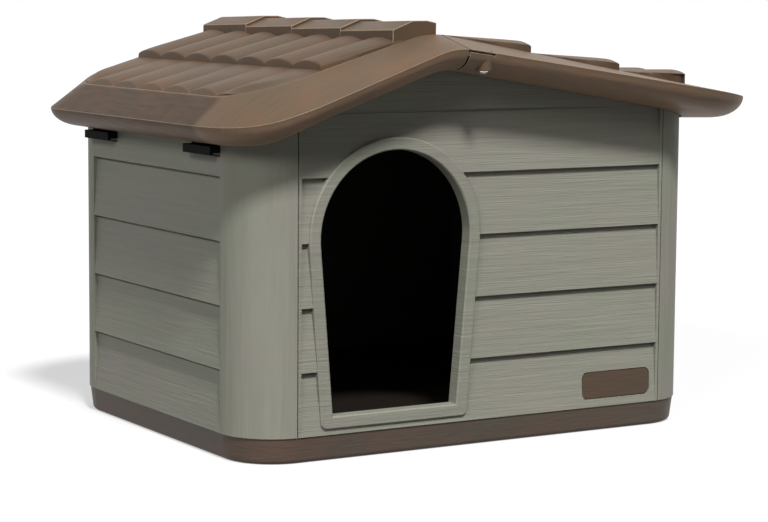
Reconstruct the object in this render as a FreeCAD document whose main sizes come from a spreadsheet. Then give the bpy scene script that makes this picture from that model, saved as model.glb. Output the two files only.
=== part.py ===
import FreeCAD, Part

# Dog house in moulded resin: base tray, four plank walls, a tiled roof in two halves and its latches.
# The front faces -Y. The origin is on the ground, in the middle of the walls' footprint. Millimetres.

import math
import os
import re

import Sketcher

Vector = FreeCAD.Vector

# Driving sizes. Heights are above the ground unless a note says otherwise.
SIZES = {
    # Walls
    "wall_width": 516,
    "wall_depth": 394,
    "wall_thick": 6,
    "cut_margin": 1,             # how far a cut starts outside the face it cuts
    "corner_round": 54,
    "post_left": 51.5,           # left wall's face to the joint with the front wall
    "post_right": 48,
    "joint_gap": 1.2,            # open joint between a post and a front or rear wall
    "plank_pitch": 60,
    "lap_depth": 4,              # how far a plank's top edge lies behind the next one's foot
    "groove_height": 2.2,        # shadow groove under each plank's foot
    "groove_depth": 4.8,
    "border_left": 3,
    "border_right": 3,
    "side_plank_margin": 56.5,
    "side_wall_gap": 7,          # side wall's top edge to the roof's underside
    "seat_gap": 0.5,             # front and rear walls' top edges to the roof's underside
    "tongue_thick": 2,
    "tongue_length": 5,
    "tongue_setback": 0.4,       # tongue's middle off the wall's middle, towards the inside
    "fit_gap": 0.3,
    "gable_plank_count": 6,
    "side_plank_count": 4,
    # Base tray
    "base_height": 25,
    "base_inset": 1,
    "base_draft": 3,
    "base_round": 5,
    "base_land": 2,              # flat foot of the skirt
    "base_skin": 3,
    "rib_thick": 3,
    "rib_bite": 1,               # how deep a rib's ends reach into the skirt
    "rib_count_x": 7,
    "rib_count_y": 5,
    "upstand_height": 12,
    "tab_width": 14,             # snap tabs between tray and walls
    "tab_height": 5,
    "tab_spread": 0.2,           # tabs from the wall's middle, as a share of its length
    "tab_depth": 1.5,
    # Doorway
    "door_offset": 101.7,        # doorway's middle, left of the walls' middle
    "door_centre_height": 182,   # arch centre above the walls' foot
    "door_radius": 81.6,
    "door_foot_half": 68,
    "door_sill": 17.4,           # above the walls' foot
    "surround_width": 12,
    "surround_proud": 2,
    "surround_bevel": 1.2,
    "reveal_depth": 14,
    "sleeve_thick": 3,
    # Name plate
    "plate_length": 82,
    "plate_height": 26,
    "plate_round": 6,
    "plate_thick": 2.4,
    "plate_seat_depth": 4.6,
    "plate_gap": 0.8,
    "plate_margin": 10.5,
    "plate_rise": 8.4,           # above the walls' foot
    # Roof outline and slopes
    "overhang_left": 32.7,
    "overhang_right": 62,
    "overhang_verge": 48,
    "eave_round": 90,
    "rim_left_height": 313,
    "rim_ridge_height": 385.2,
    "rim_right_height": 328.5,
    "eave_level": 24.7,
    "ridge_offset": 66,          # ridge, left of the walls' middle
    "ridge_blend": 20,
    "roof_skin": 3,
    "inner_field_inset": 0.5,    # flat field's edge on the underside, inside the one on top
    "skirt_drop": 20,
    "soffit_ledge": 1.7,         # flat soffit left of the skirt at the left eave
    "soffit_gap": 2,
    "roof_seam_offset": 53,      # joint of the two halves, left of the walls' middle
    "roof_seam_gap": 0.4,
    # Tiled field
    "field_margin_left": 26.7,
    "field_margin_right": 85,
    "field_round": 57,
    "deck_left_height": 336,
    "deck_ridge_height": 391,
    "deck_right_height": 344.4,
    "roll_count": 7,
    "roll_rise": 5.5,
    "tile_lip": 5.3,
    "tile_margin": 0.5,          # deck left bare round the tiles
    "tile_sink": 0.5,            # how deep tiles and caps reach into the deck
    "row_overlap": 3,            # how far a row runs in below the next one
    "right_row_length": 102,
    "cap_count": 4,
    "cap_left_offset": 105.6,
    "cap_right_offset": 58,
    "cap_rise": 14.5,            # cap's flat top above the ridge of the deck
    "cap_side_drop": 8.3,
    "cap_bevel": 22,
    "cap_small_bevel": 10,
    "cap_edge_drop": 2,
    "cap_end_gap": 2.3,
    "cap_tilt": 3,
    # Screwed joint of the halves
    "screw_offset": 30.5,          # screws, left of the walls' middle
    "screw_inset": 12.5,           # screws behind the verge's rim
    "boss_radius": 7,
    "boss_drop": 16.5,           # boss's foot below the rim
    "screw_radius": 2,
    "screw_length": 13.8,
    "screw_head_radius": 5.5,
    "screw_head_height": 3.6,
    "screw_head_flat": 3.3,      # radius of the head's flat end
    "screw_head_edge": 2,        # height of the head's round edge
    "screw_head_room": 0.5,
    "screw_gap": 0.1,
    "tongue_width": 10,
    "tongue_reach": 36,
    "tongue_drop": 2.7,          # tongue's top below the rim
    "tongue_plate": 3.2,
    "tongue_root_length": 6,
    "tongue_root_top": 1,        # below the rim
    "tongue_root_foot": 12,      # below the rim
    # Roof latches
    "latch_spacing": 224,
    "latch_width": 56,
    "latch_thick": 6,
    "latch_reach": 10,
    "latch_lip": 3,
    "latch_lip_drop": 2,
    "latch_gap": 0.4,
    "latch_skirt_gap": 0.5,
    "guide_depth": 12,
    "guide_wall": 3,
    "latch_nose": 4.5,           # latch past its guide, when pulled out
    "latch_seat_margin": 1.5,
    "latch_seat_depth": 3,
    "latch_seat_drop": 2,
    "catch_thick": 4,
    "catch_gap": 1,
    "catch_margin": 7,
}

# Places that several pieces share, as formulas in the sizes above
HALF_WIDTH = "(wall_width / 2)"
HALF_DEPTH = "(wall_depth / 2)"
JOINT_LEFT = "(post_left - wall_width / 2)"
JOINT_RIGHT = "(wall_width / 2 - post_right)"
EAVE_LEFT = "(-wall_width / 2 - overhang_left)"
EAVE_RIGHT = "(wall_width / 2 + overhang_right)"
FIELD_LEFT = "(-wall_width / 2 - overhang_left + field_margin_left)"
FIELD_RIGHT = "(wall_width / 2 + overhang_right - field_margin_right)"
RIDGE = "(-ridge_offset)"
UNDERSIDE = "(roof_skin + seat_gap)"
BASE_FOOT = "(base_inset + base_draft + base_round + base_land)"
DOOR_HEIGHT = "(base_height + door_centre_height)"
TONGUE_MIDDLE = "(wall_depth / 2 - wall_thick / 2 - tongue_setback)"
LATCH_LENGTH = "(latch_reach + wall_thick + guide_depth + latch_nose)"
STOP_DROP = "(guide_wall - latch_gap)"
CATCH_START = "(wall_width / 2 - wall_thick - guide_depth - latch_nose - catch_gap)"

TOLERANCE = 0.01
REACH = 60       # how far helper solids run past what they are cut by
FAR = 1000       # more than the whole house
CORNER_STEPS = 10      # straight edges in each rounded corner of the roof
OUTER_CURL = (90, 67.5, 45, 22.5, 0)
INNER_CURL = (90, 60, 35, 10)

doc = FreeCAD.newDocument("DogHouse")
sheet = doc.addObject("Spreadsheet::Sheet", "Sizes")
pieces = []


def fill_sheet():
    """Puts the driving sizes in the sheet, one named cell each."""
    for row, (name, number) in enumerate(SIZES.items(), start=1):
        sheet.set(f"A{row}", name)
        sheet.set(f"B{row}", str(number))
        sheet.setAlias(f"B{row}", name)
    doc.recompute()


def formula(text):
    """The same formula with every size read from the sheet."""
    return re.sub(r"\b(" + "|".join(SIZES) + r")\b", r"Sizes.\1", text)


def value(text):
    """A formula's number."""
    return float(sheet.evalExpression(formula(text)))


def deck_height(x):
    """Height of the deck, the surface under the tiles, at x: a formula for either slope."""
    left_slope = f"(deck_ridge_height - deck_left_height) / ({RIDGE} - {FIELD_LEFT})"
    right_slope = f"(deck_ridge_height - deck_right_height) / ({FIELD_RIGHT} - {RIDGE})"
    rise = f"(({x}) - {RIDGE})"
    return f"(deck_ridge_height + ({rise} < 0 ? {rise} * {left_slope} : -{rise} * {right_slope}))"


def rim_height(x):
    """Height of the roof's rim lines at x, before the level eave and the rounded ridge."""
    left_slope = f"(rim_ridge_height - rim_left_height) / ({RIDGE} - {EAVE_LEFT} - eave_level)"
    right_slope = f"(rim_ridge_height - rim_right_height) / ({EAVE_RIGHT} - {RIDGE})"
    rise = f"(({x}) - {RIDGE})"
    return f"(rim_ridge_height + ({rise} < 0 ? {rise} * {left_slope} : -{rise} * {right_slope}))"


def latch_height(side):
    """Height of a latch's middle: just below the skirt of its eave."""
    rim = "rim_left_height" if side < 0 else "rim_right_height"
    return f"({rim} - skirt_drop - latch_skirt_gap - latch_thick / 2)"


# Features of the bodies

def new_body(label):
    body = doc.addObject("PartDesign::Body", label)
    body.Label = label
    pieces.append(body)
    return body


def new_sketch(body, role, lift="0"):
    """A sketch on one of the body's own origin planes, moved along the plane's normal."""
    sketch = body.newObject("Sketcher::SketchObject", "Outline")
    plane = [item for item in body.Origin.OriginFeatures if item.Role == role][0]
    sketch.AttachmentSupport = [(plane, "")]
    sketch.MapMode = "FlatFace"
    sketch.setExpression("AttachmentOffset.Base.z", formula(lift))
    doc.recompute()
    return sketch


def fix_point(sketch, geometry, point, x, y):
    """Binds a point of the sketch to two formulas."""
    for kind, text, axis in (("DistanceX", x, -2), ("DistanceY", y, -1)):
        if abs(value(text)) < 1e-9:
            sketch.addConstraint(Sketcher.Constraint("PointOnObject", geometry, point, axis))
            continue
        index = sketch.addConstraint(Sketcher.Constraint(kind, -1, 1, geometry, point, value(text)))
        sketch.setExpression(f"Constraints[{index}]", formula(text))


def draw_polygon(sketch, corners):
    """A closed outline through corners given as pairs of formulas."""
    points = [Vector(value(x), value(y), 0) for x, y in corners]
    first = sketch.GeometryCount
    for index, point in enumerate(points):
        sketch.addGeometry(Part.LineSegment(point, points[(index + 1) % len(points)]))
    for index in range(len(points)):
        after = first + (index + 1) % len(points)
        sketch.addConstraint(Sketcher.Constraint("Coincident", first + index, 2, after, 1))
    for index, (x, y) in enumerate(corners):
        fix_point(sketch, first + index, 1, x, y)


def draw_rectangle(sketch, x_middle, y_middle, width, height):
    left, right = f"{x_middle} - {width} / 2", f"{x_middle} + {width} / 2"
    low, high = f"{y_middle} - {height} / 2", f"{y_middle} + {height} / 2"
    draw_polygon(sketch, [(left, low), (right, low), (right, high), (left, high)])


def draw_rounded(sketch, x_middle, y_middle, width, height, radius):
    """A rectangle with rounded corners, its arcs' centres and radius bound to formulas."""
    reach_x, reach_y = f"({width} / 2 - {radius})", f"({height} / 2 - {radius})"
    size = value(radius)
    arcs, centres = [], []
    for index, (x_sign, y_sign) in enumerate(((1, 1), (-1, 1), (-1, -1), (1, -1))):
        centre = (f"({x_middle} + {x_sign} * {reach_x})", f"({y_middle} + {y_sign} * {reach_y})")
        point = Vector(value(centre[0]), value(centre[1]), 0)
        circle = Part.Circle(point, Vector(0, 0, 1), size)
        start = index * math.pi / 2
        arcs.append(sketch.addGeometry(Part.ArcOfCircle(circle, start, start + math.pi / 2)))
        centres.append((centre, point, start))
    for index, arc in enumerate(arcs):
        centre, point, start = centres[index]
        after = centres[(index + 1) % 4][1]
        reach = Vector(size * math.cos(start + math.pi / 2), size * math.sin(start + math.pi / 2), 0)
        line = sketch.addGeometry(Part.LineSegment(point + reach, after + reach))
        sketch.addConstraint(Sketcher.Constraint("Tangent", arc, 2, line, 1))
        sketch.addConstraint(Sketcher.Constraint("Tangent", line, 2, arcs[(index + 1) % 4], 1))
        fix_point(sketch, arc, 3, *centre)
        bound = sketch.addConstraint(Sketcher.Constraint("Radius", arc, size))
        sketch.setExpression(f"Constraints[{bound}]", formula(radius))


def add_pad(body, sketch, length, turned=False):
    pad = body.newObject("PartDesign::Pad", "Pad")
    pad.Profile = sketch
    pad.setExpression("Length", formula(length))
    pad.Reversed = turned
    sketch.Visibility = False
    doc.recompute()
    return pad


def add_pocket(body, sketch, length, turned=False):
    """Cuts from the sketch against its normal, or along it when turned, and makes sure that it cuts."""
    before = body.Tip.Shape.Volume
    pocket = body.newObject("PartDesign::Pocket", "Pocket")
    pocket.Profile = sketch
    pocket.setExpression("Length", formula(length))
    pocket.Reversed = turned
    sketch.Visibility = False
    doc.recompute()
    if pocket.Shape.Volume > before - TOLERANCE:
        raise ValueError(f"a pocket of {body.Label} cuts nothing")
    return pocket


def repeat_up(body, feature, sketch, count):
    """Repeats a feature up the wall, one plank apart."""
    pattern = body.newObject("PartDesign::LinearPattern", "Planks")
    pattern.Originals = [feature]
    pattern.Direction = (sketch, ["V_Axis"])
    pattern.Mode = "Spacing"
    pattern.setExpression("Offset", formula("plank_pitch"))
    pattern.Occurrences = int(value(count))
    body.Tip = pattern
    doc.recompute()
    return pattern


def add_mirror(body, feature, role):
    mirror = body.newObject("PartDesign::Mirrored", "Mirror")
    mirror.Originals = [feature]
    plane = [item for item in body.Origin.OriginFeatures if item.Role == role][0]
    mirror.MirrorPlane = (plane, [""])
    body.Tip = mirror
    doc.recompute()
    return mirror


def edges_where(shape, test):
    """Names of the edges whose every vertex and middle pass the test."""
    names = []
    for index, edge in enumerate(shape.Edges, start=1):
        middle = edge.valueAt((edge.FirstParameter + edge.LastParameter) / 2)
        if all(test(point) for point in [vertex.Point for vertex in edge.Vertexes] + [middle]):
            names.append(f"Edge{index}")
    return names


def dress_edges(body, kind, property_name, size, test):
    """Rounds or bevels the edges that pass the test."""
    base = body.Tip
    names = edges_where(base.Shape, test)
    if not names:
        raise ValueError(f"no edge to dress on {body.Label}")
    feature = body.newObject(f"PartDesign::{kind}", kind)
    feature.Base = (base, names)
    feature.setExpression(property_name, formula(size))
    doc.recompute()


def add_fillet(body, radius, test):
    dress_edges(body, "Fillet", "Radius", radius, test)


def add_bevel(body, size, test):
    dress_edges(body, "Chamfer", "Size", size, test)


def near(first, second):
    return abs(first - second) < TOLERANCE


# Base tray

def tray_outline(sketch, inset):
    """The walls' plan outline, drawn in by an inset."""
    width = f"(wall_width - 2 * ({inset}))"
    depth = f"(wall_depth - 2 * ({inset}))"
    draw_rounded(sketch, "0", "0", width, depth, f"(corner_round - ({inset}))")


def make_base_tray():
    """Floor with a drafted skirt, ribs below and an upstand that the walls stand round."""
    body = new_body("base_tray")
    sketch = new_sketch(body, "XY_Plane", "base_height")
    tray_outline(sketch, "base_inset")
    add_pad(body, sketch, "base_height", turned=True)
    draft_skirt(body)
    add_fillet(body, "base_round", lambda point: near(point.z, 0))
    sketch = new_sketch(body, "XY_Plane", "0")
    tray_outline(sketch, BASE_FOOT)
    cavity = add_pocket(body, sketch, "base_height - base_skin", turned=True)
    lean = f"atan(({BASE_FOOT} - base_inset - base_skin) / (base_height - base_skin))"
    cavity.setExpression("TaperAngle", formula(lean))
    doc.recompute()
    add_ribs(body)
    add_upstand(body)
    add_tabs(body)
    return body


def add_ribs(body):
    """Ribs both ways under the floor, down to the ground, each with ends that follow the skirt."""
    for role, across, along, count in (("XZ_Plane", HALF_WIDTH, "wall_depth", "rib_count_y"),
                                       ("YZ_Plane", HALF_DEPTH, "wall_width", "rib_count_x")):
        spacing = f"(({along} - 2 * {BASE_FOOT}) / ({count} + 1))"
        start = f"(-{spacing} * ({count} - 1) / 2 - rib_thick / 2)"
        sketch = new_sketch(body, role, start)
        foot = f"({across} - {BASE_FOOT} + rib_bite)"
        head = f"({across} - base_inset - base_skin + rib_bite)"
        top = "(base_height - base_skin)"
        draw_polygon(sketch, [(f"(-{foot})", "0"), (foot, "0"), (head, top), (f"(-{head})", top)])
        rib = add_pad(body, sketch, "rib_thick")
        pattern = body.newObject("PartDesign::LinearPattern", "Ribs")
        pattern.Originals = [rib]
        pattern.Direction = (sketch, ["N_Axis"])
        pattern.Mode = "Spacing"
        pattern.setExpression("Offset", formula(spacing))
        pattern.Occurrences = int(value(count))
        body.Tip = pattern
        doc.recompute()


def draft_skirt(body):
    """Leans the skirt inwards towards its foot."""
    base = body.Tip
    names = []
    for index, face in enumerate(base.Shape.Faces, start=1):
        u_low, u_high, v_low, v_high = face.ParameterRange
        normal = face.normalAt((u_low + u_high) / 2, (v_low + v_high) / 2)
        if near(normal.z, 0):
            names.append(f"Face{index}")
    draft = body.newObject("PartDesign::Draft", "Draft")
    draft.Base = (base, names)
    top_face = [f"Face{index}" for index, face in enumerate(base.Shape.Faces, start=1)
                if near(face.CenterOfMass.z, value("base_height"))][0]
    draft.NeutralPlane = (base, [top_face])
    draft.setExpression("Angle", formula("atan(base_draft / base_height)"))
    doc.recompute()
    if draft.Shape.BoundBox.XLength > base.Shape.BoundBox.XLength + TOLERANCE:
        draft.Reversed = True
        doc.recompute()
    if near(draft.Shape.Volume, base.Shape.Volume):
        raise ValueError("the skirt has no draft")


def add_upstand(body):
    """A low wall on the floor, just inside the house's walls."""
    sketch = new_sketch(body, "XY_Plane", "base_height")
    tray_outline(sketch, "wall_thick + fit_gap")
    tray_outline(sketch, "wall_thick + fit_gap + base_skin")
    add_pad(body, sketch, "upstand_height")


def draw_tabs(sketch, spread, grow):
    """Outlines of the two snap tabs on one side, grown for their holes."""
    height = "(base_height + upstand_height / 2)"
    for sign in (-1, 1):
        draw_rectangle(sketch, f"({sign} * {spread} * tab_spread)", height, f"(tab_width + 2 * {grow})",
                       f"(tab_height + 2 * {grow})")


def add_tabs(body):
    """Low tabs on the upstand, which snap into the walls."""
    sides = (("XZ_Plane", HALF_DEPTH, "wall_width"), ("YZ_Plane", HALF_WIDTH, "wall_depth"))
    for role, half_size, spread in sides:
        sketch = new_sketch(body, role, f"{half_size} - wall_thick - fit_gap - base_skin / 2")
        draw_tabs(sketch, spread, "0")
        pad = add_pad(body, sketch, "base_skin / 2 + fit_gap + tab_depth")
        add_mirror(body, pad, role)


# Walls

def gable_outline(sketch):
    """Front or rear wall seen from the front: its top follows the roof's underside."""
    left, right = f"({JOINT_LEFT} + joint_gap / 2)", f"({JOINT_RIGHT} - joint_gap / 2)"
    ridge_left, ridge_right = f"({RIDGE} - ridge_blend)", f"({RIDGE} + ridge_blend)"
    corners = [(left, "base_height"), (right, "base_height")]
    corners += [(x, f"{deck_height(x)} - {UNDERSIDE}") for x in (right, ridge_right, ridge_left, left)]
    draw_polygon(sketch, corners)


def arch_outline(sketch, grow):
    """Doorway outline: an arch whose sides lean in to a flat foot, grown on every side."""
    x, z = value("-door_offset"), value(DOOR_HEIGHT)
    radius = value(f"door_radius + {grow}")
    half_foot = value(f"door_foot_half + {grow}")
    drop = value(f"door_centre_height - door_sill + {grow}")
    lean = math.atan2(drop, half_foot) - math.acos(radius / math.hypot(half_foot, drop))
    right_end = Vector(x + radius * math.cos(lean), z - radius * math.sin(lean), 0)
    left_end = Vector(x - radius * math.cos(lean), z - radius * math.sin(lean), 0)
    foot_left = Vector(x - half_foot, z - drop, 0)
    foot_right = Vector(x + half_foot, z - drop, 0)
    circle = Part.Circle(Vector(x, z, 0), Vector(0, 0, 1), radius)
    arc = sketch.addGeometry(Part.ArcOfCircle(circle, -lean, math.pi + lean))
    side_left = sketch.addGeometry(Part.LineSegment(left_end, foot_left))
    foot = sketch.addGeometry(Part.LineSegment(foot_left, foot_right))
    side_right = sketch.addGeometry(Part.LineSegment(foot_right, right_end))
    sketch.addConstraint(Sketcher.Constraint("Coincident", side_left, 2, foot, 1))
    sketch.addConstraint(Sketcher.Constraint("Coincident", foot, 2, side_right, 1))
    sketch.addConstraint(Sketcher.Constraint("Tangent", arc, 2, side_left, 1))
    sketch.addConstraint(Sketcher.Constraint("Tangent", side_right, 2, arc, 1))
    fix_point(sketch, arc, 3, "-door_offset", DOOR_HEIGHT)
    size = sketch.addConstraint(Sketcher.Constraint("Radius", arc, radius))
    sketch.setExpression(f"Constraints[{size}]", formula(f"door_radius + {grow}"))
    foot_height = f"(base_height + door_sill - {grow})"
    fix_point(sketch, foot, 1, f"(-door_offset - door_foot_half - {grow})", foot_height)
    fix_point(sketch, foot, 2, f"(-door_offset + door_foot_half + {grow})", foot_height)


def make_gable_wall(label, side):
    """Front (side -1) or rear (side 1) wall: lapped planks between two upright borders."""
    body = new_body(label)
    sketch = new_sketch(body, "XZ_Plane", f"({-side} * wall_depth / 2)")
    gable_outline(sketch)
    add_pad(body, sketch, "wall_thick", turned=side < 0)
    planks_left = f"({JOINT_LEFT} + joint_gap / 2 + border_left)"
    planks_right = f"({JOINT_RIGHT} - joint_gap / 2 - border_right)"
    cut_planks(body, "YZ_Plane", side, HALF_DEPTH, planks_left, planks_right)
    for joint, direction in ((JOINT_LEFT, 1), (JOINT_RIGHT, -1)):
        add_tongue(body, side, joint, direction)
    return body


def cut_planks(body, role, side, half_size, start, end):
    """Leans each plank's face back towards its top, on the face at side * half_size."""
    sketch = new_sketch(body, role, start)
    plank_outline(sketch, side, half_size)
    pocket = add_pocket(body, sketch, f"{end} - {start}", turned=True)
    repeat_up(body, pocket, sketch, "gable_plank_count")


def plank_outline(sketch, side, half_size):
    """What is cut away in front of one plank, with the groove above it."""
    outward = f"({side} * ({half_size} + cut_margin))"
    top = "base_height + plank_pitch"
    draw_polygon(sketch, [
        (f"({side} * {half_size})", "base_height"),
        (f"({side} * ({half_size} - lap_depth))", f"{top} - groove_height"),
        (f"({side} * ({half_size} - groove_depth))", f"{top} - groove_height"),
        (f"({side} * ({half_size} - groove_depth))", top),
        (outward, top),
        (outward, "base_height"),
    ])


def add_tongue(body, side, joint, direction):
    """Upright tongue at the wall's edge, for the groove in the corner post."""
    post_side = -1 if direction > 0 else 1
    sketch = new_sketch(body, "XY_Plane", "base_height")
    middle_y = f"({side} * {TONGUE_MIDDLE})"
    root = f"({joint} + {direction} * joint_gap)"
    tip = f"({joint} - {direction} * tongue_length)"
    low, high = f"({middle_y} - tongue_thick / 2)", f"({middle_y} + tongue_thick / 2)"
    draw_polygon(sketch, [(root, low), (tip, low), (tip, high), (root, high)])
    add_pad(body, sketch, f"{side_wall_top(post_side)} - base_height")


def cut_tab_holes(body, role, side, half_size, spread):
    """Blind holes in the wall's inner face, for the base tray's tabs."""
    sign = -side if role == "XZ_Plane" else side
    sketch = new_sketch(body, role, f"({sign} * ({half_size} - wall_thick))")
    draw_tabs(sketch, spread, "fit_gap")
    add_pocket(body, sketch, "tab_depth + 2 * fit_gap", turned=sign > 0)


def make_front_wall():
    """Front wall with the doorway's raised surround and the seat of the name plate."""
    body = make_gable_wall("front_wall", -1)
    face = value(f"-{HALF_DEPTH} - surround_proud")
    foot = value("base_height + door_sill - surround_width")
    sketch = new_sketch(body, "XZ_Plane", f"{HALF_DEPTH} + surround_proud")
    arch_outline(sketch, "surround_width")
    add_pad(body, sketch, "surround_proud + wall_thick", turned=True)
    sketch = new_sketch(body, "XZ_Plane", f"{HALF_DEPTH} - wall_thick")
    arch_outline(sketch, "sleeve_thick")
    add_pad(body, sketch, "reveal_depth - surround_proud - wall_thick", turned=True)
    sketch = new_sketch(body, "XZ_Plane", f"{HALF_DEPTH} + surround_proud")
    arch_outline(sketch, "0")
    add_pocket(body, sketch, "reveal_depth")
    half_foot, behind = value("door_foot_half"), value(f"lap_depth - {HALF_DEPTH}")
    add_fillet(body, "surround_width / 2", lambda point: near(point.z, foot)
               and point.y < behind and abs(point.x + value("door_offset")) > half_foot)
    add_bevel(body, "surround_bevel", lambda point: near(point.y, face))
    sketch = new_sketch(body, "XZ_Plane", HALF_DEPTH)
    draw_rounded(sketch, plate_x(), plate_z(), "(plate_length + 2 * plate_gap)",
                 "(plate_height + 2 * plate_gap)", "(plate_round + plate_gap)")
    add_pocket(body, sketch, "plate_seat_depth")
    cut_tab_holes(body, "XZ_Plane", -1, HALF_DEPTH, "wall_width")


def make_rear_wall():
    body = make_gable_wall("rear_wall", 1)
    cut_tab_holes(body, "XZ_Plane", 1, HALF_DEPTH, "wall_width")


def plate_x():
    return f"({JOINT_RIGHT} - plate_margin - plate_length / 2)"


def plate_z():
    return "(base_height + plate_rise + plate_height / 2)"


def make_name_plate():
    """Bare plate with rounded corners, seated in the front wall."""
    body = new_body("name_plate")
    sketch = new_sketch(body, "XZ_Plane", f"{HALF_DEPTH} - plate_seat_depth")
    draw_rounded(sketch, plate_x(), plate_z(), "plate_length", "plate_height", "plate_round")
    add_pad(body, sketch, "plate_thick")
    return body


def side_wall_top(side):
    """Height of a side wall's top edge, below the roof's underside there."""
    return f"({deck_height(f'({side} * wall_width / 2)')} - roof_skin - side_wall_gap)"


def make_side_wall(label, side):
    """Left (side -1) or right (side 1) wall with both rounded corner posts."""
    body = new_body(label)
    post = "post_left" if side < 0 else "post_right"
    joint = f"({side} * ({HALF_WIDTH} - {post} + joint_gap / 2))"
    sketch = new_sketch(body, "XY_Plane", "base_height")
    tray_outline(sketch, "0")
    tray_outline(sketch, "wall_thick")
    add_pad(body, sketch, f"{side_wall_top(side)} - base_height")
    sketch = new_sketch(body, "XY_Plane", side_wall_top(side))
    far, wide = f"({side} * -wall_width)", "wall_depth"
    draw_polygon(sketch, [(joint, f"(-{wide})"), (joint, wide), (far, wide), (far, f"(-{wide})")])
    add_pocket(body, sketch, f"{side_wall_top(side)} - base_height")
    cut_side_planks(body, side)
    cut_tongue_grooves(body, side, joint)
    cut_tab_holes(body, "YZ_Plane", side, HALF_WIDTH, "wall_depth")
    add_latch_seats(body, side)
    return body


def cut_side_planks(body, side):
    """Four planks between the corner posts."""
    start = f"({HALF_DEPTH} - side_plank_margin)"
    sketch = new_sketch(body, "XZ_Plane", start)
    plank_outline(sketch, side, HALF_WIDTH)
    pocket = add_pocket(body, sketch, f"2 * {start}")
    repeat_up(body, pocket, sketch, "side_plank_count")


def cut_tongue_grooves(body, side, joint):
    """Upright grooves in both posts' edges, one for each tongue of the front and rear walls."""
    sketch = new_sketch(body, "XY_Plane", side_wall_top(side))
    bottom = f"({joint} + {side} * (tongue_length + joint_gap / 2 + fit_gap))"
    mouth = f"({joint} - {side} * cut_margin)"
    for end in (-1, 1):
        middle = f"({end} * {TONGUE_MIDDLE})"
        low, high = f"({middle} - tongue_thick / 2 - fit_gap)", f"({middle} + tongue_thick / 2 + fit_gap)"
        draw_polygon(sketch, [(mouth, low), (bottom, low), (bottom, high), (mouth, high)])
    add_pocket(body, sketch, f"{side_wall_top(side)} - base_height")


def latch_y(end):
    return f"({end} * latch_spacing / 2)"


def add_latch_seats(body, side):
    """Guide boxes inside the wall, slots through them and a shallow seat round each slot outside."""
    height = latch_height(side)
    inside = f"({side} * ({HALF_WIDTH} - wall_thick))"
    outside = f"({side} * {HALF_WIDTH})"
    sketch = new_sketch(body, "YZ_Plane", inside)
    for end in (-1, 1):
        draw_rectangle(sketch, latch_y(end), height, "(latch_width + 2 * guide_wall)",
                       "(latch_thick + 2 * guide_wall)")
    add_pad(body, sketch, "guide_depth", turned=side > 0)
    sketch = new_sketch(body, "YZ_Plane", outside)
    for end in (-1, 1):
        draw_rectangle(sketch, latch_y(end), height, "(latch_width + 2 * latch_gap)",
                       "(latch_thick + 2 * latch_gap)")
    add_pocket(body, sketch, "wall_thick + guide_depth", turned=side < 0)
    sketch = new_sketch(body, "YZ_Plane", outside)
    for end in (-1, 1):
        draw_rectangle(sketch, latch_y(end), f"({height} - latch_seat_drop / 2)",
                       "(latch_width + 2 * latch_seat_margin)",
                       "(latch_thick + 2 * latch_seat_margin + latch_seat_drop)")
    add_pocket(body, sketch, "latch_seat_depth", turned=side < 0)


# Latches and screws

def make_latch(label, side, end):
    """Sliding latch, pulled out: a flat tongue with a finger lip outside and a stop at its inner end."""
    body = new_body(label)
    height = latch_height(side)
    top, bottom = f"({height} + latch_thick / 2)", f"({height} - latch_thick / 2)"
    tip = f"({side} * ({HALF_WIDTH} + latch_reach))"
    lip = f"({side} * ({HALF_WIDTH} + latch_reach - latch_lip))"
    lip_foot = f"({bottom} - latch_lip_drop)"
    nose = f"({side} * ({HALF_WIDTH} + latch_reach - {LATCH_LENGTH}))"
    stop = f"({side} * ({HALF_WIDTH} - wall_thick - guide_depth - latch_gap))"
    stop_foot = f"({bottom} - {STOP_DROP})"
    sketch = new_sketch(body, "XZ_Plane", f"({-end} * latch_spacing / 2 + latch_width / 2)")
    draw_polygon(sketch, [(tip, top), (tip, lip_foot), (lip, lip_foot), (lip, bottom), (stop, bottom),
                          (stop, stop_foot), (nose, stop_foot), (nose, top)])
    add_pad(body, sketch, "latch_width", turned=True)
    return body


def make_ridge_screw(label, side):
    """Pan-head screw, driven up through the right half's boss into the left half's tongue."""
    body = new_body(label)
    foot = f"({rim_height('(-screw_offset)')} - boss_drop)"
    sketch = new_sketch(body, "XZ_Plane", f"({-side} * ({HALF_DEPTH} + overhang_verge - screw_inset))")
    axis = "(-screw_offset)"
    draw_polygon(sketch, [
        (axis, f"({foot} - screw_head_height)"),
        (f"({axis} + screw_head_flat)", f"({foot} - screw_head_height)"),
        (f"({axis} + screw_head_radius)", f"({foot} - screw_head_edge)"),
        (f"({axis} + screw_head_radius)", foot),
        (f"({axis} + screw_radius)", foot),
        (f"({axis} + screw_radius)", f"({foot} + screw_length - screw_radius)"),
        (axis, f"({foot} + screw_length)"),
    ])
    turn = body.newObject("PartDesign::Revolution", "Revolution")
    turn.Profile = sketch
    turn.ReferenceAxis = (sketch, ["Edge7"])
    turn.Angle = 360
    sketch.Visibility = False
    doc.recompute()
    return body


# Roof

def outline(left, right, half_depth, radius):
    return {"left": left, "right": right, "half_depth": half_depth, "radius": radius}


def rim_outline(inset):
    """Plan outline of the roof's rim, drawn in by an inset."""
    return outline(value(EAVE_LEFT) + inset, value(EAVE_RIGHT) - inset,
                   value(f"{HALF_DEPTH} + overhang_verge") - inset, value("eave_round") - inset)


def rim_level(x):
    """Rim height at x, with the level left eave blended in."""
    start = value(EAVE_LEFT)
    run = value("eave_level")
    if x >= start + 2 * run:
        return value(rim_height(f"({x})"))
    slope = (value(rim_height(f"({start + 2 * run})")) - value("rim_left_height")) / run
    return value("rim_left_height") + slope / (4 * run) * (x - start) ** 2


def deck_level(x):
    return value(deck_height(f"({x})"))


def line(first, second):
    return Part.LineSegment(first, second).toShape()


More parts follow.
